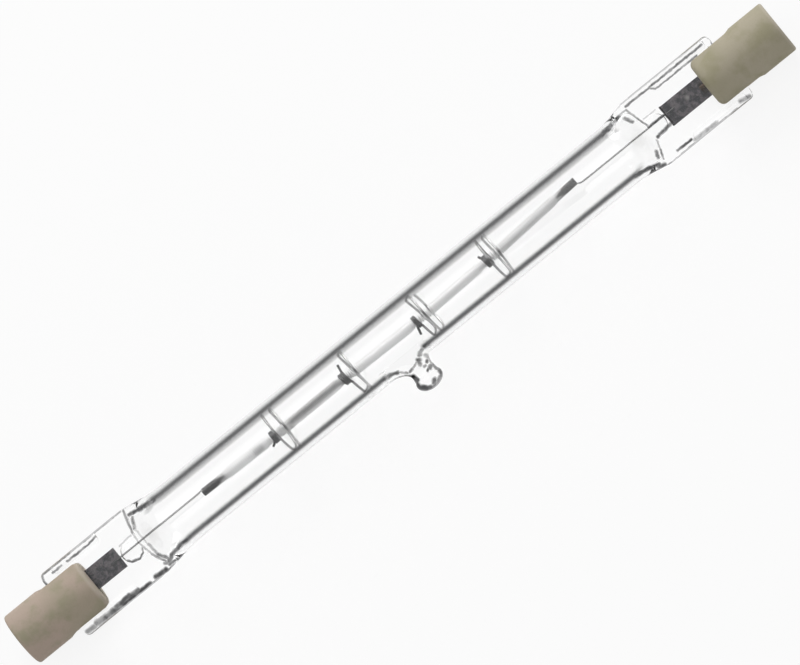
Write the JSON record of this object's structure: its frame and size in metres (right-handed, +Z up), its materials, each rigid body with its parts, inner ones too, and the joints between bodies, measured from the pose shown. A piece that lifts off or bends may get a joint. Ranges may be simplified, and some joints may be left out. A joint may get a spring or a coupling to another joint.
{
  "type": "linear halogen bulb",
  "caption": "Slim double-ended halogen lamp: clear quartz tube with flat pinched ends, coiled filament on wire supports, side exhaust tip and slotted ceramic caps with recessed contacts.",
  "frame": {"origin": "on the tube's axis, half way between the outer faces of the two ceramic caps", "axes": "+X along the tube's axis, towards the end whose flat pinch ends nearer the middle; +Z up, away from the surface on which the lamp lies; the exhaust tip leans down on the -Y side"},
  "size_m": [0.1176, 0.0121, 0.008],
  "materials": {
    "quartz": "clear, fire-polished",
    "cap_ceramic": "matt, unglazed",
    "cement": "rough, chalky",
    "contact_metal": "nickel-plated",
    "lead_metal": "drawn molybdenum",
    "foil_metal": "etched molybdenum foil",
    "filament_tungsten": "drawn tungsten",
    "support_tungsten": "dark drawn tungsten"
  },
  "bodies": {
    "root": {"quartz_envelope": "quartz", "ceramic_cap_left": "cap_ceramic", "ceramic_cap_right": "cap_ceramic", "cement_left": "cement", "cement_right": "cement", "contact_left": "contact_metal", "contact_right": "contact_metal", "outer_lead_left": "lead_metal", "outer_lead_right": "lead_metal", "foil_left": "foil_metal", "foil_right": "foil_metal", "filament": "filament_tungsten", "filament_end_pin_left": "filament_tungsten", "filament_end_pin_right": "filament_tungsten", "coil_support_1": "support_tungsten", "coil_support_2": "support_tungsten", "coil_support_3": "support_tungsten", "coil_support_4": "support_tungsten"}
  },
  "joints": []
}
